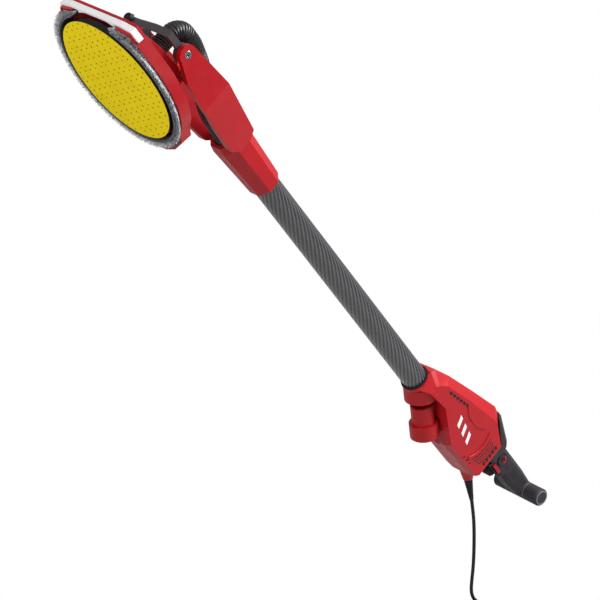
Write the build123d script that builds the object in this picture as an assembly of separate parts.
from build123d import *
import math
import os

# A corded long-reach sander for plasterboard walls and ceilings. The pole slopes up from the
# crosswise rear handle to the sanding head. Lengths are millimetres and angles are degrees.
#
# Pole frame: +X runs along the pole towards the head, +Y is the operator's left side, and +Z is
# the side of the pole away from the pad. X starts at the rear handle, and Z on the pole's axis.
# Head frame: +X is the front of the head, and +Z is the height above the abrasive face.

# ---- driving dimensions: attitude
POLE_SLOPE = 53.6
HEAD_TILT = 10.8
PIVOT_STATION = 1346.0
PIVOT_HEIGHT = 6.0
PIVOT_ABOVE_PAD = 98.0
PIVOT_BEHIND_CENTRE = 7.0

# ---- driving dimensions: rear handle, housing and pole
HANDLE_HEIGHT = 33.0
HANDLE_RADIUS = 16.5
HANDLE_HALF = 55.0
STEM_HALF_WIDTH = 18.0
HOUSING_REAR = 156.0
HOUSING_FRONT = 415.0
HOUSING_HALF = 38.0
HOUSING_CORE = 21.0
WALL = 3.0
TUBE_RADIUS = 22.5
TUBE_BORE = 20.5
TUBE_START = 398.0
TUBE_END = 1060.0
SHAFT_RADIUS = 5.0
RUNNING = 0.05

# ---- driving dimensions: dust port
PORT_STATION = 395.0
PORT_ANGLE = 28.4
PORT_BORE = 16.0
PORT_SLEEVE = 20.6
PORT_RING = 26.0
PORT_SOCKET = 29.5
PORT_SOCKET_END = 27.0
PORT_SLEEVE_START = 42.0
PORT_LENGTH = 112.0
PORT_RING_START = 78.0
PORT_RING_HEIGHT = 28.0

# ---- driving dimensions: fork, gimbal and hose
COLLAR_START = 993.0
COLLAR_END = 1110.0
ARM_INNER = 54.0
ARM_OUTER = 63.0
TIP_RADIUS = 16.0
PIVOT_PIN = 4.0
STRAP_OUTER = 52.0
STRAP_THICK = 8.0
STRAP_TOP = 12.8
STRAP_BOTTOM = 1.3
ROLL_FRONT_HEIGHT = -10.5
ROLL_REAR_HEIGHT = 1.0
ROLL_PIN = 4.0
RING_FRONT = 1428.0
RING_REAR = 1278.0
HOSE_RADIUS = 16.0
HOSE_BORE = 14.0
FLEX_RADIUS = 4.5

# ---- driving dimensions: head
PAD_RADIUS = 112.5
SHROUD_RADIUS = 129.0
SHROUD_LOW = 10.0
SHROUD_TOP = 30.5
BRUSH_INNER = 119.5
BRUSH_TIP = 136.5
BRUSH_ROOT = 126.0
BRUSH_HEIGHT = 15.0
BRUSH_GAP_HALF = 22.0
HOOD_FRONT = 119.5
GEAR_MODULE = 0.75
PINION_TEETH = 14
SPINDLE_TEETH = 34
PINION_AT = -GEAR_MODULE * (PINION_TEETH + SPINDLE_TEETH) / 2
GEARBOX_AT = -8.0
DOME_HALF = 40.0

# ---- driving dimensions: cord
CORD_RADIUS = 3.2
CORD_LENGTH = 4000.0
COIL_MEAN_RADIUS = 38.5
COIL_SECTION_RADIUS = 17.0

POLE = Location((0, 0, 0), (0, -POLE_SLOPE, 0)) * Location((0, 0, -HANDLE_HEIGHT))
HEAD = (
    POLE
    * Location((PIVOT_STATION, 0, PIVOT_HEIGHT), (0, -HEAD_TILT, 0))
    * Location((PIVOT_BEHIND_CENTRE, 0, -PIVOT_ABOVE_PAD))
)
PORT_FRAME = Location((PORT_STATION, 0, 0)) * Rot(0, 270 - PORT_ANGLE, 0)

nodes = {}


def keep(name, shape, frame=POLE):
    """Store one sub-part, moved from its own frame to the part's frame."""
    solids = shape.solids() if hasattr(shape, "solids") else ShapeList(shape)
    placed = [frame * solid for solid in solids]
    nodes[name] = placed[0] if len(placed) == 1 else Compound(placed)


def side_prism(points, half, taper_depth=0.0):
    """A plate in the plane of symmetry, given by (x, z) points, with bevelled sides."""
    face = make_face(Plane.XZ * Polyline(*points, close=True))
    core = half - taper_depth
    body = extrude(face, amount=core, both=True)
    if taper_depth > 0:
        for side in (1, -1):
            rim = Pos(0, side * core, 0) * face
            body += extrude(rim, amount=taper_depth, dir=(0, side, 0), taper=45)
    return body


def lofted_slab(outer, inner, core, half):
    """A plate of the outer (x, z) outline whose sides narrow to the inner outline at full width."""
    outer_face = make_face(Plane.XZ * Polyline(*outer, close=True))
    inner_face = make_face(Plane.XZ * Polyline(*inner, close=True))
    body = extrude(outer_face, amount=core, both=True)
    for side in (1, -1):
        body += loft([Pos(0, side * core, 0) * outer_face, Pos(0, side * half, 0) * inner_face], ruled=True)
    return body


def inset(points, distance):
    """A closed (x, z) outline moved inwards by distance, corner by corner."""
    area = sum(a[0] * b[1] - b[0] * a[1] for a, b in zip(points, points[1:] + points[:1]))
    turn = distance if area > 0 else -distance
    moved = []
    for before, here, after in zip(points[-1:] + points[:-1], points, points[1:] + points[:1]):
        first = Vector(before[1] - here[1], here[0] - before[0]).normalized()
        second = Vector(here[1] - after[1], after[0] - here[0]).normalized()
        reach = turn / (1 + first.dot(second))
        moved.append((here[0] + (first.X + second.X) * reach, here[1] + (first.Y + second.Y) * reach))
    return moved


def along_x(radius, start, end, height=0.0, side=0.0):
    """A cylinder along the frame's X axis."""
    length = end - start
    return Location(((start + end) / 2, side, height), (0, 90, 0)) * Cylinder(radius, length)


def along_y(radius, start, end, station=0.0, height=0.0):
    """A cylinder along the frame's Y axis."""
    return Location((station, (start + end) / 2, height), (90, 0, 0)) * Cylinder(radius, end - start)


def along_z(radius, start, end, station=0.0, side=0.0):
    """A cylinder along the frame's Z axis."""
    return Pos(station, side, (start + end) / 2) * Cylinder(radius, end - start)


def block(x_range, y_range, z_range):
    """A rectangular block between given limits."""
    sizes = [high - low for low, high in (x_range, y_range, z_range)]
    centre = [(high + low) / 2 for low, high in (x_range, y_range, z_range)]
    return Pos(*centre) * Box(*sizes)


def corner_radii(points):
    """The arc radius at each inner corner: 0.45 of the shorter run over tan(half the turn)."""
    radii = []
    for before, here, after in zip(points, points[1:], points[2:]):
        run_in = Vector(*here) - Vector(*before)
        run_out = Vector(*after) - Vector(*here)
        turn = math.radians(run_in.get_angle(run_out))
        shorter = min(run_in.length, run_out.length)
        radii.append(0.45 * shorter / math.tan(turn / 2))
    return radii


def path_through(points):
    """Straight runs through the points, joined by tangent arcs."""
    return FilletPolyline(*points, radius=corner_radii(points))


def tube_along(path, radius, bore=0.0):
    """A round rod or tube swept along a path."""
    start = Plane(origin=path @ 0, z_dir=path % 0)
    section = start * Circle(radius)
    if bore > 0:
        section -= start * Circle(bore)
    return sweep(section, path=path)


def gear(teeth, width, bore):
    """A spur gear with straight-sided teeth, a tooth centred on +X."""
    pitch = GEAR_MODULE * teeth / 2
    tip = pitch + 0.85 * GEAR_MODULE
    root = pitch - 1.2 * GEAR_MODULE
    step = 2 * math.pi / teeth
    points = []
    for index in range(teeth):
        middle = index * step
        for radius, part in ((root, -0.30), (tip, -0.11), (tip, 0.11), (root, 0.30)):
            angle = middle + part * step
            points.append((radius * math.cos(angle), radius * math.sin(angle)))
    body = extrude(make_face(Polyline(*points, close=True)), amount=width)
    return body - along_z(bore, -1, width + 1)


def bearing(radius, bore, start, width, along):
    """A sealed ball bearing drawn as one ring with a groove on each face."""
    ring = along(radius, start, start + width) - along(bore, start - 1, start + width + 1)
    middle = (radius + bore) / 2
    for edge in (start, start + width):
        groove = along(middle + 1, edge - 0.5, edge + 0.5) - along(middle - 1, edge - 1, edge + 1)
        ring -= groove
    return ring


# ================================================================= rear housing
HOUSING_OUTLINE = [
    (HOUSING_FRONT, -18), (352, -1), (268, -41), (162, -38.5), (HOUSING_REAR, -32),
    (HOUSING_REAR, 41), (203, 66), (206, 77), (221, 80), (301, 62), (371, 45), (408, 31),
    (HOUSING_FRONT, 23),
]
HOUSING_SIDE = [
    (398, -8), (343, -3), (271, -36.5), (166, -35), (160, -29), (160, 37), (203, 56), (206, 57), (217, 57.5),
    (303, 42.5), (375, 26), (392, 14), (398, 8),
]
CORD_EXIT = (135.6, -36.0)
CORD_AIM = -23.9
EXIT_FRAME = Location((CORD_EXIT[0], 0, CORD_EXIT[1])) * Rot(0, -90 + CORD_AIM, 0)


def housing_outer(shrink):
    """The motor housing's solid shape, smaller all round by shrink."""
    outer = inset(HOUSING_OUTLINE, shrink)
    side = inset(HOUSING_SIDE, shrink)
    return lofted_slab(outer, side, HOUSING_CORE, HOUSING_HALF - shrink)


def port_recess(grow):
    """The hollow beside the port that clears its sleeve and its turning ring."""
    start = PORT_SOCKET_END - grow
    recess = along_z(PORT_SLEEVE + 2.5 + grow, start, PORT_RING_START)
    return PORT_FRAME * (recess + along_z(PORT_RING + 2.0 + grow, PORT_RING_START - 3 - grow, 200))


def housing_shells():
    """Two red shells: bevelled body, round neck, elbow socket and cord boss."""
    socket = PORT_FRAME * along_z(PORT_SOCKET, 0, PORT_SOCKET_END)
    boss = EXIT_FRAME * Pos(0, 0, -18) * Cone(15.0, 9.5, 36)
    body = housing_outer(0) + along_x(26.5, 372.0, HOUSING_FRONT)
    body -= port_recess(0)
    duct = PORT_FRAME * along_z(PORT_SLEEVE + 3, -20, PORT_SOCKET_END + 9) & body
    shell = body + socket + boss - (housing_outer(WALL) - port_recess(WALL)) + duct
    shell -= PORT_FRAME * along_z(PORT_SLEEVE, -20.0, PORT_RING_START)
    shell -= along_x(TUBE_RADIUS, TUBE_START, HOUSING_FRONT + 5)
    shell -= along_x(TUBE_BORE, 372.0, TUBE_START)
    shell -= along_x(SHAFT_RADIUS + 2.5, 320.0, 372.0)
    shell -= EXIT_FRAME * along_z(5.0, -60.0, 5.0)
    for index in range(6):
        slot = block((352 - 11 * index, 361 - 11 * index), (-60, 60), (-1.6, 1.6))
        shell -= Pos(0, 0, 22.5 + 2.1 * index) * slot
    for index in range(5):
        slot = block((168, 172), (-60, 60), (-12 + 9 * index, -6 + 9 * index))
        shell -= slot
    return shell


shell = housing_shells()
half_space = block((100, 500), (0, 80), (-150, 150))
keep("motor_housing_left", shell & half_space)
keep("motor_housing_right", shell & mirror(half_space, Plane.XZ))

REAR_CAP_OUTLINE = [(230, 79), (193, 79), (137, 59), (129, 50), (129, 3), (155, -3), (230, -3)]
CAP_INNER_OUTLINE = [
    (HOUSING_REAR - 0.3, -60), (HOUSING_REAR - 0.3, 41.2), (202.8, 66.2), (205.8, 90), (240, 90), (240, -60),
]
rear_cap = side_prism(REAR_CAP_OUTLINE, 33, 12) - side_prism(CAP_INNER_OUTLINE, 60)
rear_cap -= block((120, 150), (-13, 13), (-10, 46))
rear_cap -= block((138, 170), (-28, 28), (0, 45))
keep("rear_cap", rear_cap.solids().sort_by(SortBy.VOLUME)[-1])

# ================================================================= dust port
PORT_RING_END = PORT_RING_START + PORT_RING_HEIGHT


def dust_elbow():
    """The red suction elbow: a round sleeve that leaves the housing socket."""
    sleeve = along_z(PORT_SLEEVE, PORT_SLEEVE_START, PORT_LENGTH - 10) - along_z(PORT_BORE, 30.0, PORT_LENGTH)
    sleeve -= along_z(PORT_SLEEVE + 1, PORT_RING_START, PORT_LENGTH) - along_z(18.5, 0, 200)
    return PORT_FRAME * sleeve - along_x(SHAFT_RADIUS + 1.5, 320.0, 372.0)


def port_ring():
    """The bayonet ring that turns on the sleeve's end, with a keyhole slot."""
    ring = along_z(PORT_RING, PORT_RING_START + 0.3, PORT_RING_END)
    ring -= along_z(18.5 + RUNNING, PORT_RING_START - 1, PORT_RING_END - 3)
    ring -= along_z(PORT_BORE + 0.4, PORT_RING_START, PORT_RING_END + 1)
    keyhole = block((-30, 30), (-2, 2), (PORT_RING_START + 10, PORT_RING_END + 1))
    keyhole = Rot(0, 0, 55) * (keyhole & block((18, 30), (-5, 5), (0, 200)))
    return ring - keyhole


keep("dust_elbow", dust_elbow())
keep("port_ring", port_ring(), POLE * PORT_FRAME)

# ================================================================= motor and controls
MOTOR_FRONT = 300.0
MOTOR_REAR = 168.0


def motor_stator():
    """Laminated field ring with two winding bundles."""
    ring = along_x(32.0, 208, 258) - along_x(24.5, 200, 270)
    for side in (1, -1):
        bundle = block((202, 264), (-14, 14), (0, 6))
        ring += Pos(0, 0, side * 28.2 - 3) * bundle & (along_x(31.9, 200, 266) - along_x(24.6, 199, 267))
    return ring


def motor_armature():
    """Shaft, laminated core and commutator on one axis."""
    body = along_x(SHAFT_RADIUS, MOTOR_REAR - 8, MOTOR_FRONT + 8)
    body += along_x(23.5, 210, 256)
    body += along_x(13.0, 176, 196)
    for index in range(12):
        slot = Rot(30 * index, 0, 0) * block((200, 260), (-1, 1), (20, 24))
        body -= slot
    return body


def brush_holders():
    """Two brass holders that press carbon brushes on the commutator."""
    holder = block((178, 194), (13.1, 33), (-5, 5))
    return [holder, mirror(holder, Plane.XZ)]


def cooling_fan():
    """A radial fan on the armature shaft."""
    disc = along_x(26.5, 270, 272) - along_x(SHAFT_RADIUS, 260, 290)
    hub = along_x(9.0, 270, 279) - along_x(SHAFT_RADIUS, 260, 290)
    fan = disc + hub
    for index in range(9):
        fan += Rot(40 * index, 0, 0) * block((272, 279), (-0.8, 0.8), (8.5, 26))
    return fan


def bearing_plate(start, width, bearing_radius):
    """A cross plate in the housing that carries a bearing."""
    plate = block((start, start + width), (-33.5, 33.5), (-14, 34))
    return plate - along_x(bearing_radius, start - 1, start + width + 1)


keep("motor_stator", motor_stator())
keep("motor_armature", motor_armature())
keep("cooling_fan", cooling_fan())
keep("brush_holders", brush_holders())
keep("motor_bearings", [
    bearing(11.0, SHAFT_RADIUS + RUNNING, start, 8.0, along_x) for start in (MOTOR_FRONT - 8, MOTOR_REAR - 6)
])
plates = bearing_plate(MOTOR_FRONT - 7, 6, 11.0).solids() + bearing_plate(MOTOR_REAR - 5, 6, 11.0).solids()
keep("bearing_plates", plates)
board = block((204, 290), (-24, 24), (40, 42))
for station in (216, 238, 262):
    board += along_z(6.0, 41, 50, station, 6)
keep("control_board", board)
keep("housing_screws", [
    along_y(2.0, -36.5, 36.5, station, height)
    for station, height in ((372, 18), (310, 38), (222, 54), (180, 38), (190, -30), (262, -34.5))
])

# ================================================================= rear handle
STEM_OUTLINE = [(128, 52), (128, 6), (84, 5), (77, 12), (40, 12), (0, 16.6), (0, 49.4), (40, 52)]
TRIGGER_PIVOT = (122.0, 17.0)
DIAL_STATION = 112.0
DIAL_HEIGHT = 30.0


def handle_outer(shrink):
    """Stem and crosswise bar as one solid, smaller all round by shrink."""
    face = make_face(Plane.XZ * Polyline(*STEM_OUTLINE, close=True))
    if shrink > 0:
        face = offset(face, amount=-shrink, kind=Kind.INTERSECTION)
    core = STEM_HALF_WIDTH - 7
    stem = extrude(face, amount=core, both=True)
    for side in (1, -1):
        stem += extrude(Pos(0, side * core, 0) * face, amount=7 - shrink, dir=(0, side, 0), taper=45)
    bar = along_y(HANDLE_RADIUS - shrink, -HANDLE_HALF + 6, HANDLE_HALF - 6, 0, HANDLE_HEIGHT)
    return stem + bar


def handle_shells():
    """Hollow grip with a slot for the trigger, a round seat for the dial and a slide window."""
    grip = handle_outer(0) - handle_outer(WALL)
    grip -= block((80, 127), (-8, 8), (-5, 22))
    grip -= along_y(10.4, 10, 40, DIAL_STATION, DIAL_HEIGHT)
    grip -= block((96, 131), (10, 40), (8.0, 15.0))
    return grip


grip = handle_shells()
grip_half = block((-40, 200), (0, 80), (-60, 90))
keep("t_handle_left", grip & grip_half)
keep("t_handle_right", grip & mirror(grip_half, Plane.XZ))

caps = []
for side in (1, -1):
    start, end = sorted((side * (HANDLE_HALF - 6), side * HANDLE_HALF))
    cap = along_y(HANDLE_RADIUS, start, end, 0, HANDLE_HEIGHT)
    rim = cap.edges().sort_by(Axis.Y)[-1 if side > 0 else 0]
    caps.append(fillet(rim, 4.0))
keep("handle_end_caps", caps)

trigger = along_y(12.0, -7, 7, 104, 7) + block((100, 125), (-7, 7), (4, 19))
trigger += along_y(2.0, -11, 11, *TRIGGER_PIVOT)
keep("trigger", trigger)
slider = block((98, 122), (16.3, 20.5), (8.6, 14.4)) + block((101, 118), (13, 17), (10, 13))
keep("lock_slider", slider)
dial = along_y(10.0, 15.5, 20.0, DIAL_STATION, DIAL_HEIGHT)
dial += along_y(4.0, 11.0, 16.0, DIAL_STATION, DIAL_HEIGHT)
keep("speed_dial", dial)
switch = block((88, 118), (-9, 1), (24, 44)) + block((104, 120), (1, 10.5), (24, 36))
keep("switch_module", switch)

# ================================================================= pole
tube = along_x(TUBE_RADIUS, TUBE_START, TUBE_END) - along_x(TUBE_BORE, TUBE_START - 1, TUBE_END + 1)
keep("carbon_tube", tube)
entry = along_x(25.5, HOUSING_FRONT, HOUSING_FRONT + 3)
entry -= along_x(TUBE_RADIUS, HOUSING_FRONT - 1, HOUSING_FRONT + 5)
keep("entry_seal", entry)

BEARING_STATIONS = (480.0, 760.0, 1040.0)


def bearing_spiders():
    """Three-legged carriers that centre the shaft bearings and let dust pass."""
    spiders = []
    for station in BEARING_STATIONS:
        hub = along_x(11.0, station, station + 8) - along_x(8.0, station - 1, station + 9)
        for index in range(3):
            leg = block((station, station + 8), (-1.5, 1.5), (10.5, 20.8))
            leg &= along_x(TUBE_BORE, station - 1, station + 9)
            hub += Rot(120 * index, 0, 0) * leg
        spiders.append(hub)
    return spiders


keep("bearing_spiders", bearing_spiders())
keep("shaft_bearings", [
    bearing(8.0, SHAFT_RADIUS + RUNNING, station, 8.0, along_x) for station in BEARING_STATIONS
])
keep("shaft_coupling", along_x(7.5, 302, 313) - along_x(SHAFT_RADIUS, 301, 314))
keep("drive_shaft", along_x(SHAFT_RADIUS, MOTOR_FRONT + 8, 1058))


# ================================================================= fork
def octagon(width):
    """An octagon of the given width across its flats, with a flat facing sideways."""
    return RegularPolygon(width / 2, 8, major_radius=False, rotation=22.5)


def collar_section(station, width):
    return Plane(origin=(station, 0, 0), x_dir=(0, 1, 0), z_dir=(1, 0, 0)) * octagon(width)


NECK_BORE_HEIGHT = -6.0
collar = loft([collar_section(COLLAR_START, 51), collar_section(COLLAR_END, 62)])
collar += loft([collar_section(COLLAR_END, 62), collar_section(COLLAR_END + 14, 58)])
collar -= along_x(TUBE_RADIUS, COLLAR_START - 1, TUBE_END)
collar -= along_x(18.0, TUBE_END - 1, COLLAR_END + 40, NECK_BORE_HEIGHT)
collar -= along_x(15.0, TUBE_END - 1, COLLAR_END + 40)

ARM_SIDE = [
    (PIVOT_STATION, PIVOT_HEIGHT - TIP_RADIUS), (1308, -24), (1250, -29.5), (1198, -30), (1127, -26),
    (COLLAR_END - 2, -10), (COLLAR_END, 13), (1121, 26.5), (1244, 31.5),
    (PIVOT_STATION + 4, PIVOT_HEIGHT + TIP_RADIUS),
]
ARM_PLAN = [
    (PIVOT_STATION + 30, ARM_OUTER), (1246, ARM_OUTER), (COLLAR_END - 6, 36.5), (COLLAR_END - 6, 25),
    (1126, 25), (1236, ARM_INNER), (PIVOT_STATION + 30, ARM_INNER),
]


def fork_arm():
    """The left arm: flares out of the collar, then runs straight to the pivot eye."""
    side = extrude(make_face(Plane.XZ * Polyline(*ARM_SIDE, close=True)), amount=90, both=True)
    side += along_y(TIP_RADIUS, -90, 90, PIVOT_STATION, PIVOT_HEIGHT)
    plan = extrude(make_face(Polyline(*ARM_PLAN, close=True)), amount=60, both=True)
    arm = side & plan
    arm -= along_y(PIVOT_PIN, 40, 80, PIVOT_STATION, PIVOT_HEIGHT)
    arm -= along_y(7.2, ARM_OUTER - 2.5, ARM_OUTER + 5, PIVOT_STATION, PIVOT_HEIGHT)
    return arm - along_x(20.0, COLLAR_END - 10, COLLAR_END + 16)


arm = fork_arm()
keep("fork", collar + arm + mirror(arm, Plane.XZ))
pivot_screw = along_y(PIVOT_PIN, STRAP_OUTER - STRAP_THICK - 1, ARM_OUTER - 2.5, PIVOT_STATION, PIVOT_HEIGHT)
pivot_screw += along_y(6.6, ARM_OUTER - 2.5, ARM_OUTER - 0.2, PIVOT_STATION, PIVOT_HEIGHT)
keep("pivot_screws", [pivot_screw, mirror(pivot_screw, Plane.XZ)])
cuff = along_x(18.0, COLLAR_END, COLLAR_END + 14, NECK_BORE_HEIGHT)
cuff -= along_x(HOSE_RADIUS, COLLAR_END - 4, COLLAR_END + 30, NECK_BORE_HEIGHT)
keep("hose_cuff", cuff)


# ================================================================= gimbal
RING_LENGTH = RING_FRONT - RING_REAR
ROLL_SLOPE = math.degrees(math.atan2(ROLL_FRONT_HEIGHT - ROLL_REAR_HEIGHT, RING_LENGTH))
# The roll frame's X axis is the roll axis, with zero at the middle of the ring.
ROLL = Location(
    ((RING_FRONT + RING_REAR) / 2, 0, (ROLL_FRONT_HEIGHT + ROLL_REAR_HEIGHT) / 2), (0, -ROLL_SLOPE, 0)
)
RING_HALF = 0.5 * RING_LENGTH / math.cos(math.radians(ROLL_SLOPE))
STRAP_SIDE = [
    (RING_REAR - 2, 7), (1308, STRAP_TOP), (1391, STRAP_TOP), (1404, 9), (RING_FRONT + 2, -7),
    (RING_FRONT + 2, -18), (1404, -5), (1391, STRAP_BOTTOM), (1308, STRAP_BOTTOM), (RING_REAR - 2, -5),
]


def strap_plan(shrink):
    """The gimbal ring's outline in plan, smaller all round by shrink."""
    left = [(1391, STRAP_OUTER), (RING_FRONT, 12), (RING_REAR, 16), (1306, STRAP_OUTER)]
    loop = [left[3], left[0], left[1], (RING_FRONT, -12), (1391, -STRAP_OUTER)]
    loop += [(1306, -STRAP_OUTER), (RING_REAR, -16), left[2]]
    return inset(loop, shrink)


def gimbal_ring():
    """A bent flat bar that carries the head between the fork's arms."""
    outer = extrude(make_face(Polyline(*strap_plan(0), close=True)), amount=60, both=True)
    inner = extrude(make_face(Polyline(*strap_plan(STRAP_THICK), close=True)), amount=60, both=True)
    ring = (outer - inner) & side_prism(STRAP_SIDE, 60)
    for side in (1, -1):
        start, end = sorted((side * (STRAP_OUTER - STRAP_THICK), side * STRAP_OUTER))
        ring += along_y(TIP_RADIUS - 1, start, end, PIVOT_STATION, PIVOT_HEIGHT)
    ring -= along_y(PIVOT_PIN + RUNNING, -80, 80, PIVOT_STATION, PIVOT_HEIGHT)
    return ring - ROLL * along_x(ROLL_PIN, -100, 100)


keep("gimbal_ring", gimbal_ring())
LUG_FRONT = 50.0
LUG_REAR = -50.0
keep("roll_pins", [
    along_x(ROLL_PIN, LUG_FRONT - 2, RING_HALF + 1),
    along_x(ROLL_PIN, -RING_HALF - 1, LUG_REAR + 2),
], POLE * ROLL)
front_cap = along_x(7.0, RING_HALF + 1, RING_HALF + 8)
keep("front_roll_cap", fillet(front_cap.edges().sort_by(Axis.X)[-1], 2.0), POLE * ROLL)
rear_bush = along_x(9.0, -RING_HALF - 10, -RING_HALF - 1)
keep("rear_roll_bush", fillet(rear_bush.edges().sort_by(Axis.X)[0], 1.5), POLE * ROLL)

# ================================================================= suction hose
HOSE_ROUTE = [
    (COLLAR_END + 4, 0, NECK_BORE_HEIGHT), (1190, 0, -2), (1262, 0, 36), (1300, 0, 45.5),
    (1346, 0, 46), (1348, 0, 7),
]
HOSE_BENDS = [110, 90, 60, 24]
OUTLET_AT = -PIVOT_BEHIND_CENTRE
OUTLET_TOP = 86.0
TILT_CLEARANCE = 3.3


def clear_of_pivot(radius):
    """A ball round the pivot that the tilting end of a tube of this radius sweeps."""
    return Pos(PIVOT_STATION, 0, PIVOT_HEIGHT) * Sphere(radius + TILT_CLEARANCE)


hose_path = FilletPolyline(*HOSE_ROUTE, radius=HOSE_BENDS)
keep("suction_hose", tube_along(hose_path, HOSE_RADIUS, HOSE_BORE) - clear_of_pivot(HOSE_RADIUS))
keep("flexible_shaft", tube_along(hose_path, FLEX_RADIUS) - clear_of_pivot(FLEX_RADIUS))
tail = along_z(HOSE_RADIUS, OUTLET_TOP, PIVOT_ABOVE_PAD, OUTLET_AT)
keep("hose_tail", tail - along_z(HOSE_BORE, 60, 120, OUTLET_AT), HEAD)

# ================================================================= shroud
def head_outline(grow):
    """The shroud's outline in plan: round, with a straight front edge and a blunt rear."""
    scale = (SHROUD_RADIUS + grow) / SHROUD_RADIUS
    front = [(60, 114), (94, 97), (116, 86), (HOOD_FRONT, 62)]
    rear = [(-84, 98), (-106, 89), (-130, 60), (-141, 32)]
    outline = Circle(SHROUD_RADIUS + grow)
    outline &= Pos(-100, 0) * Rectangle(2 * (100 + HOOD_FRONT * scale), 400)
    for points in (front, rear):
        loop = points + [(x, -y) for x, y in reversed(points)]
        outline += make_face(Polyline(*[(x * scale, y * scale) for x, y in loop], close=True))
    return outline


SEGMENT_CUT = 97.0
SEGMENT_LOW = 15.0
SEGMENT_TOP = 25.0
SEGMENT_WALL = 4.5
BRUSH_CLEAR = 126.6


def nose(region, low, high):
    """The part of a hood region in front of the cut line, between two heights."""
    return region & block((SEGMENT_CUT, 160), (-130, 130), (low, high))


def shroud():
    """The red suction hood: side wall, flat top with a central opening and a recess for the nose."""
    wall = Pos(0, 0, SHROUD_LOW) * extrude(head_outline(0), amount=SHROUD_TOP - SHROUD_LOW)
    hollow = Pos(0, 0, SHROUD_LOW - 1) * extrude(head_outline(-3), amount=SHROUD_TOP - SHROUD_LOW - 2)
    depth = SHROUD_TOP - SHROUD_LOW - 2
    lining = Pos(0, 0, SHROUD_LOW) * extrude(head_outline(-SEGMENT_WALL - 0.4), amount=depth)
    lining -= Pos(0, 0, SHROUD_LOW - 1) * extrude(head_outline(-SEGMENT_WALL - 2.4), amount=depth + 2)
    body = wall - hollow
    body -= block((SEGMENT_CUT, 160), (-130, 130), (0, SEGMENT_TOP + 0.5))
    body += nose(lining, 0, SHROUD_TOP) - along_z(BRUSH_CLEAR, 0, 23)
    return body - along_z(33.0, 20, 40, GEARBOX_AT)


def front_segment():
    """The white nose piece that slides off for sanding close to a corner."""
    height = SEGMENT_TOP - SEGMENT_LOW
    outer = Pos(0, 0, SEGMENT_LOW) * extrude(head_outline(0), amount=height)
    rim = outer - (Pos(0, 0, SEGMENT_LOW - 1) * extrude(head_outline(-SEGMENT_WALL), amount=height + 2))
    lip = outer & (along_z(SHROUD_RADIUS, SEGMENT_LOW, SEGMENT_LOW + 3) - along_z(118, 0, 40))
    lip &= block((105, 130), (-43, 43), (0, 40))
    piece = rim + lip
    return piece & block((SEGMENT_CUT + 0.4, 160), (-130, 130), (0, 40))


def brush_sector(profile):
    """A profile turned about the head's axis, leaving a gap at the front."""
    face = make_face(Plane.XZ * Polyline(*profile, close=True))
    sweep_angle = 360 - 2 * BRUSH_GAP_HALF
    return Rot(0, 0, BRUSH_GAP_HALF) * revolve(face, Axis.Z, sweep_angle)


keep("shroud", shroud(), HEAD)
keep("front_segment", front_segment(), HEAD)
keep("brush_ring", brush_sector(
    [(BRUSH_INNER, 0.3), (BRUSH_TIP, 0.3), (BRUSH_ROOT - 0.4, SHROUD_LOW), (BRUSH_ROOT - 2.6, BRUSH_HEIGHT),
     (BRUSH_INNER, BRUSH_HEIGHT)]), HEAD)
keep("brush_holder", brush_sector(
    [(BRUSH_INNER - 1, BRUSH_HEIGHT), (SHROUD_RADIUS - 5.2, BRUSH_HEIGHT), (SHROUD_RADIUS - 5.2, 22),
     (BRUSH_INNER - 1, 22)]), HEAD)

# ================================================================= gear dome
DOME_OUTLINE = [(-88, SHROUD_TOP), (-78, 66), (-56, 86), (-29, 90), (13, 79.5), (51, 64), (72, SHROUD_TOP)]
DOME_SIDE = [(-84, SHROUD_TOP), (-73, 62), (-54, 81), (-29, 86), (13, 74.5), (47, 61), (66, SHROUD_TOP)]
POLE_TO_HEAD = HEAD.inverse() * POLE


def gear_dome():
    """The bevelled cover over the gears, with the hose outlet on top."""
    core = DOME_HALF - 12
    outer = lofted_slab(DOME_OUTLINE, DOME_SIDE, core, DOME_HALF)
    low = SHROUD_TOP - 20
    open_outline = [(x, z if z > SHROUD_TOP else low) for x, z in DOME_OUTLINE]
    open_side = [(x, z if z > SHROUD_TOP else low) for x, z in DOME_SIDE]
    inner = lofted_slab(inset(open_outline, WALL), inset(open_side, WALL), core, DOME_HALF - WALL)
    outer -= along_z(HOSE_RADIUS + RUNNING, OUTLET_TOP, 120, OUTLET_AT)
    return outer - inner - along_z(HOSE_BORE, 60, 100, OUTLET_AT)


def roll_lug(start, end):
    """An ear on the head with a running bore for a roll pin, in the roll frame."""
    lug = block((start, end), (-9, 9), (-45, 0)) + along_x(9.0, start, end)
    return lug - along_x(ROLL_PIN + RUNNING, start - 1, end + 1)


dome = gear_dome()
keep("gear_dome", dome, HEAD)
lugs = []
for start, end in ((LUG_FRONT, LUG_FRONT + 12), (LUG_REAR - 12, LUG_REAR)):
    lug = POLE_TO_HEAD * ROLL * roll_lug(start, end)
    lug -= side_prism(DOME_OUTLINE, DOME_HALF)
    lug &= block((-200, 200), (-60, 60), (SHROUD_TOP, 200))
    lugs.append(lug.solids().sort_by(Axis.Z)[-1])
keep("roll_lugs", lugs, HEAD)
outlet = along_z(HOSE_RADIUS + 2, 72, OUTLET_TOP, OUTLET_AT) - along_z(HOSE_BORE, 70, 100, OUTLET_AT)
outlet -= side_prism(DOME_OUTLINE, DOME_HALF)
keep("hose_socket", outlet, HEAD)

# ================================================================= gears and pad
GEAR_LOW = 38.0
GEARBOX_LOW = 24.0
GEARBOX_TOP = 58.0
PINION_TOP = 63.0


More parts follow.
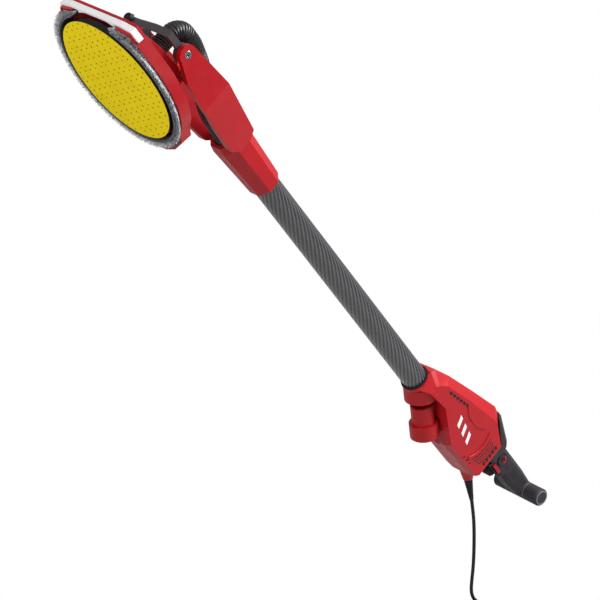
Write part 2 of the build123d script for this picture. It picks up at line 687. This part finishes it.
def gear_housing():
    """A closed can with a flange under the shroud's top and seats for the bearings."""
    can = along_z(31.0, GEARBOX_LOW, GEARBOX_TOP, GEARBOX_AT)
    can += along_z(40.0, SHROUD_TOP - 6, SHROUD_TOP - 3, GEARBOX_AT)
    can -= along_z(28.5, GEARBOX_LOW + 3, GEARBOX_TOP - 3, GEARBOX_AT)
    return can - along_z(8.0, 20, 80) - along_z(6.5, 50, 80, PINION_AT)


keep("gear_housing", gear_housing(), HEAD)
pinion = Pos(PINION_AT, 0, GEAR_LOW) * gear(PINION_TEETH, 8.0, 2.9)
pinion += along_z(3.0, GEAR_LOW - 4, PINION_TOP, PINION_AT)
keep("pinion_shaft", pinion, HEAD)
flex_points = [
    (OUTLET_AT, 0, PIVOT_ABOVE_PAD), (OUTLET_AT, 0, 86), (PINION_AT, 0, 72), (PINION_AT, 0, PINION_TOP + 0.3)
]
flex_path = FilletPolyline(*flex_points, radius=[7, 7])
keep("flexible_shaft_tail", tube_along(flex_path, FLEX_RADIUS), HEAD)
mesh_turn = 180.0 / SPINDLE_TEETH
wheel = Pos(0, 0, GEAR_LOW) * Rot(0, 0, 180 + mesh_turn) * gear(SPINDLE_TEETH, 8.0, 5.0)
keep("spindle_gear", wheel, HEAD)
keep("spindle", along_z(5.0, 9, 63) + along_z(8.0, 16, 24), HEAD)
pinion_bush = along_z(6.5, 55, 58, PINION_AT) - along_z(3.0 + RUNNING, 50, 60, PINION_AT)
keep("gear_bearings", [
    bearing(8.0, 5.0 + RUNNING, 24.3, 5.0, along_z), bearing(8.0, 5.0 + RUNNING, 54.0, 5.0, along_z), pinion_bush
], HEAD)

pad_plate = along_z(110.0, 9, 13) + along_z(30.0, 13, 16) - along_z(5.0, 0, 30)
for index in range(8):
    pad_plate -= Rot(0, 0, 45 * index) * along_z(7.0, 0, 20, 70)
keep("backing_pad", pad_plate, HEAD)
keep("foam_pad", along_z(111.5, 1.4, 9), HEAD)
keep("abrasive_disc", along_z(PAD_RADIUS, 0, 1.4), HEAD)

# ================================================================= strain relief, cord and plug
BOOT_LENGTH = 49.0


def strain_relief():
    """A tapered boot with rings, held in the housing's boss."""
    boot = Cone(7.2, 3.9, BOOT_LENGTH, align=(Align.CENTER, Align.CENTER, Align.MIN))
    for index in range(5):
        height = 7.0 + 7.0 * index
        boot -= along_z(12, height, height + 2.2) - along_z(5.8 - 0.45 * index, height - 1, height + 4)
    return boot + along_z(5.0, -22, 0)


keep("strain_relief", strain_relief(), POLE * EXIT_FRAME)

# The cord leaves the boot's tip and hangs. Points are (x, z) in the part's frame.
CORD_ROUTE = [
    (125.4, 20.4), (120.4, -8), (117.2, -36), (115.6, -76), (116.0, -120), (117.6, -164), (104.6, -209),
]
COIL_CENTRE = (106.0, -262.0)
TAIL_ROUTE = [(58.0, -276), (56.6, -300), (56.4, -338)]
boot_tip = (POLE * EXIT_FRAME * Pos(0, 0, BOOT_LENGTH)).position
CORD_ROUTE[0] = (boot_tip.X, boot_tip.Z)
cord_points = [(x, 0, z) for x, z in CORD_ROUTE]
tail_points = [(x, 0, z) for x, z in TAIL_ROUTE]
cord_path = path_through(cord_points)
cord_tail_path = path_through(tail_points)
print("cord radii", [round(radius) for radius in corner_radii(cord_points)])
print("tail radii", [round(radius) for radius in corner_radii(tail_points)])
cord = tube_along(cord_path, CORD_RADIUS)
cord_tail = tube_along(cord_tail_path, CORD_RADIUS)
section_area = math.pi * CORD_RADIUS ** 2
for label, solid, path in (("cord", cord, cord_path), ("tail", cord_tail, cord_tail_path)):
    print(label, "length", round(path.length, 1), "volume ratio", solid.volume / (section_area * path.length))
coiled = CORD_LENGTH - cord_path.length - cord_tail_path.length
print("boot tip", CORD_ROUTE[0], "coiled length", round(coiled, 1))
print("turns", round(coiled / (2 * math.pi * COIL_MEAN_RADIUS), 2))

WORLD = Location((0, 0, 0))
COIL_FRAME = Location((COIL_CENTRE[0], 0, COIL_CENTRE[1])) * Rot(90, 0, 0)
keep("cord", cord, WORLD)
keep("cord_tail", cord_tail, WORLD)
keep("cord_coil", Torus(COIL_MEAN_RADIUS, COIL_SECTION_RADIUS), COIL_FRAME)


def coil_tie():
    """A flat band round the coil's section, bent to the coil's curve."""
    ring = Circle(COIL_SECTION_RADIUS + 1.6) - Circle(COIL_SECTION_RADIUS)
    band = Plane.XZ * (Pos(COIL_MEAN_RADIUS, 0) * ring)
    return Rot(0, 0, 50) * revolve(band, Axis.Z, 18)


keep("coil_tie", coil_tie(), COIL_FRAME)

PLUG_TOP = TAIL_ROUTE[-1]
PLUG_FRAME = Location((PLUG_TOP[0], 0, PLUG_TOP[1]), (180, 0, 0))


def plug_body():
    """A moulded two-pin plug: tapered neck, oval grip and round face."""
    neck = Cone(5.0, 8.5, 26, align=(Align.CENTER, Align.CENTER, Align.MIN))
    shoulder = Pos(0, 0, 26) * Cone(8.5, 17.5, 14, align=(Align.CENTER, Align.CENTER, Align.MIN))
    face = Pos(0, 0, 40) * Cylinder(17.5, 14, align=(Align.CENTER, Align.CENTER, Align.MIN))
    return neck + shoulder + face


keep("plug_body", plug_body(), PLUG_FRAME)
keep("plug_pins", [along_z(2.4, 54, 73, side=-9.5), along_z(2.4, 54, 73, side=9.5)], PLUG_FRAME)

os.makedirs("parts", exist_ok=True)
for name, shape in nodes.items():
    shape.label = name
    export_step(shape, f"parts/{name}.step")
print(len(nodes), "nodes")
